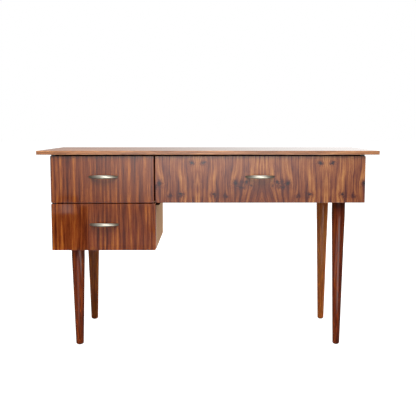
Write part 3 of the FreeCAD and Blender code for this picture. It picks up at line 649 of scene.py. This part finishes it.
ROOM_LOW = 0.20           # the room's light on the desk from the horizon down
ROOM_HIGH = 0.95          # and from overhead; the camera sees a white background instead
ROOM_RISE = 0.8           # sine of the elevation where it reaches that level
FLOOR_GLOW = 1.0          # over-exposes the floor for the camera only
FLOOR_HALF = 40.0
FRONT_HALF = 2.6          # half the front panel's width
FRONT_TOP = 2.8
BROAD_HALF = 4.0          # half the width of the back panel and of the far floor's card
CARD_LIFT = 0.004         # the lit wedges lie just above the floor
LEG_X = 0.504             # the front legs stand this far either side of the middle
WEDGE_START = -0.22       # y from which the lit wedges open
WEDGE_SOFTNESS = 0.20     # slope over which their sides fade
FLAG_Y = -2.25
SPOT_X = -0.925
SPOT_Z = 0.315
SPOT_RADIUS = 0.085


def stage_plane(name, material, corners):
    """A flat four-cornered card that isn't part of the desk."""
    mesh = bmesh.new()
    face = mesh.faces.new([mesh.verts.new(corner) for corner in corners])
    bmesh.ops.subdivide_edges(mesh, edges=face.edges[:], cuts=6, use_grid_fill=True)
    data = bpy.data.meshes.new(name)
    mesh.to_mesh(data)
    mesh.free()
    data.materials.append(material)
    plane = bpy.data.objects.new(name, data)
    bpy.context.collection.objects.link(plane)
    return plane


def floor():
    """Pale matt paint, which the camera sees over-exposed to white."""
    g = Graph("floor_paint")
    place = g.vector(*g.axes())
    patch = g.noise(place, 1.2, 3.0)
    ray = g.new("LightPath")
    glow = g.scaled(ray.outputs["Is Camera Ray"], FLOOR_GLOW)
    paint = g.mix(patch, (0.21, 0.21, 0.205), (0.25, 0.25, 0.245))
    relief = g.bump(g.noise(place, 240.0, 2.0), 0.05, 0.0005)
    g.principled(Base_Color=paint, Roughness=0.8, Specular_IOR_Level=0.1, Emission_Color=(1.0, 1.0, 1.0),
                 Emission_Strength=glow, Normal=relief)
    stage_plane("floor", g.material, flat(-FLOOR_HALF, FLOOR_HALF, -FLOOR_HALF, FLOOR_HALF, 0.0))


def reflector(name, corners, glow):
    """A lit card that only shows in the lacquer; glow(g, x, y, z) is its brightness."""
    g = Graph(name + "_light")
    x, y, z = g.axes()
    shader = g.new("Emission")
    g.feed(shader.inputs["Strength"], glow(g, x, y, z))
    g.tree.links.new(shader.outputs[0], g.output.inputs[0])
    card = stage_plane(name, g.material, corners)
    card.visible_camera = False
    card.visible_diffuse = False
    card.visible_shadow = False


def upright(left, right, y, bottom, top):
    """Corners of a card that stands facing the desk."""
    return (left, y, bottom), (left, y, top), (right, y, top), (right, y, bottom)


def flat(left, right, front, back, z):
    """Corners of a card that lies level."""
    return (left, front, z), (right, front, z), (right, back, z), (left, back, z)


def front_glow(g, x, y, z):
    """Brightest in the middle, fading sideways, upwards and down to the floor."""
    sideways = g.smooth(g.math("ABSOLUTE", x), FRONT_HALF, 0.1)
    upwards = g.math("MULTIPLY", g.smooth(z, -0.45, 0.85), g.smooth(z, FRONT_TOP, 1.2))
    return g.scaled(g.math("MULTIPLY", sideways, upwards), 3.8)


def far_floor_glow(g, x, y, z):
    """Even, with soft near and side edges."""
    fade = g.math("MULTIPLY", g.smooth(y, -2.43, -2.60), g.smooth(g.math("ABSOLUTE", x), BROAD_HALF, 2.2))
    return g.scaled(fade, 0.65)


def back_glow(g, x, y, z):
    """Brighter to the right, where the top looks almost white."""
    sideways = g.math("MULTIPLY_ADD", g.smooth(x, -1.9, 2.3), 0.84, 0.40)
    return g.math("MULTIPLY", sideways, g.smooth(g.math("ABSOLUTE", x), BROAD_HALF, 3.0))


def spot_glow(g, x, y, z):
    """A soft round spot."""
    distance = g.math("SQRT", g.squares(g.math("SUBTRACT", x, SPOT_X), g.math("SUBTRACT", z, SPOT_Z)))
    return g.scaled(g.smooth(distance, SPOT_RADIUS, 0.0), 1.8)


def flag_glow(g, x, y, z):
    """Almost black."""
    return g.scaled(g.noise(g.vector(x, y, z), 40.0), 0.01)


def wedge(name, leg_x, left, right, near, far, level):
    """A soft-edged wedge of lit floor in front of a leg; left and right are its sides' slopes from straight ahead."""
    near_y = WEDGE_START - near
    far_y = WEDGE_START - far
    corners = ((leg_x + left * far, far_y, CARD_LIFT), (leg_x + right * far, far_y, CARD_LIFT),
               (leg_x + right * near, near_y, CARD_LIFT), (leg_x + left * near, near_y, CARD_LIFT))

    def glow(g, x, y, z):
        """Fades at the sides and at both ends."""
        ahead = g.math("SUBTRACT", WEDGE_START, y)
        slope = g.math("DIVIDE", g.math("SUBTRACT", x, leg_x), ahead)
        across = g.math("MULTIPLY", g.smooth(slope, left, left + WEDGE_SOFTNESS),
                        g.smooth(slope, right, right - WEDGE_SOFTNESS))
        ends = g.math("MULTIPLY", g.smooth(ahead, near, near + 0.35), g.smooth(ahead, far, 0.7 * far))
        return g.scaled(g.math("MULTIPLY", across, ends), level)

    reflector(name, corners, glow)


def softbox(name, place, target, width, height, power, spread=180.0):
    """A soft lamp that lights the desk without showing itself or its reflection; spread is in degrees."""
    light = bpy.data.lights.new(name, "AREA")
    light.shape = "RECTANGLE"
    light.size = width
    light.size_y = height
    light.energy = power
    light.spread = math.radians(spread)
    lamp = bpy.data.objects.new(name, light)
    lamp.location = place
    lamp.rotation_euler = (Vector(target) - Vector(place)).to_track_quat("-Z", "Y").to_euler()
    lamp.visible_camera = False
    lamp.visible_glossy = False
    bpy.context.collection.objects.link(lamp)


def surroundings():
    """White to the camera; to the desk, a room that is brighter overhead."""
    world = bpy.data.worlds.new("studio")
    world.use_nodes = True
    tree = world.node_tree
    background = tree.nodes["Background"]
    ray = tree.nodes.new("ShaderNodeLightPath")
    direction = tree.nodes.new("ShaderNodeTexCoord")
    parts = tree.nodes.new("ShaderNodeSeparateXYZ")
    room = tree.nodes.new("ShaderNodeMapRange")
    room.inputs["From Max"].default_value = ROOM_RISE
    room.inputs["To Min"].default_value = ROOM_LOW
    room.inputs["To Max"].default_value = ROOM_HIGH
    level = tree.nodes.new("ShaderNodeMapRange")
    level.inputs["To Max"].default_value = 1.0
    tree.links.new(direction.outputs["Generated"], parts.inputs[0])
    tree.links.new(parts.outputs["Z"], room.inputs["Value"])
    tree.links.new(room.outputs[0], level.inputs["To Min"])
    tree.links.new(ray.outputs["Is Camera Ray"], level.inputs["Value"])
    tree.links.new(level.outputs[0], background.inputs["Strength"])
    background.inputs["Color"].default_value = (1.0, 1.0, 1.0, 1.0)
    bpy.context.scene.world = world
    bpy.context.scene.view_settings.view_transform = "Standard"


def studio():
    """The floor, the room, the cards that show in the lacquer and the lamps."""
    surroundings()
    floor()

    # Seen in the fronts, the top and the legs.
    reflector("front_panel", upright(-FRONT_HALF, FRONT_HALF, -5.2, 0.02, FRONT_TOP), front_glow)
    reflector("back_panel", upright(-BROAD_HALF, BROAD_HALF, 6.0, 0.3, 2.2), back_glow)
    reflector("far_floor", flat(-BROAD_HALF, BROAD_HALF, -5.19, -2.45, 0.003), far_floor_glow)
    wedge("left_wedge", -LEG_X, left=-0.40, right=0.30, near=0.05, far=2.2, level=3.2)
    wedge("right_wedge", LEG_X, left=-0.30, right=0.60, near=0.25, far=3.4, level=5.4)

    # Dark flags clear the haze from the lower front's left part, and a spot shows above them.
    reflector("low_flag", upright(-1.06, -0.84, FLAG_Y, 0.0, 0.285), flag_glow)
    reflector("high_flag", upright(-0.84, -0.782, FLAG_Y, 0.0, 0.335), flag_glow)
    reflector("spot_card", upright(-0.99, -0.85, FLAG_Y - 0.01, 0.285, 0.40), spot_glow)

    softbox("key_softbox", (-0.2, -1.65, 2.55), (0.0, -0.2, 0.6), width=2.4, height=1.4, power=98.0)
    softbox("side_softbox", (1.9, 1.9, 0.45), (-0.2, 0.0, 0.45), width=1.6, height=0.7, power=42.0)
    softbox("back_softbox", (0.3, 3.6, 1.6), (0.0, 0.2, 0.5), width=3.0, height=1.6, power=88.0)
    softbox("leg_softbox", (0.0, -3.1, 0.20), (0.0, 0.2, 0.20), width=1.8, height=0.2, power=1.3, spread=14.0)
    softbox("overhead_softbox", (0.3, 0.6, 3.4), (0.0, 0.0, 0.5), width=3.0, height=2.5, power=16.0)


CAMERA_TO_FRONTS = 2.73
CAMERA_X = -0.0107
CAMERA_HEIGHT = 0.8447
CAMERA_DOWN = math.radians(6.306)
CAMERA_TURN = math.radians(-0.221)
LENS = 62.6               # in millimetres, and so is the sensor's width
SENSOR = 36.0


def camera():
    """At the photograph's viewing angle, almost straight ahead and a little above the top."""
    data = bpy.data.cameras.new("camera")
    data.sensor_width = SENSOR
    data.lens = LENS
    viewer = bpy.data.objects.new("camera", data)
    viewer.location = (CAMERA_X, FRONT_Y - CAMERA_TO_FRONTS, CAMERA_HEIGHT)
    viewer.rotation_euler = (math.pi / 2 - CAMERA_DOWN, 0.0, CAMERA_TURN)
    bpy.context.collection.objects.link(viewer)
    bpy.context.scene.camera = viewer


studio()
camera()
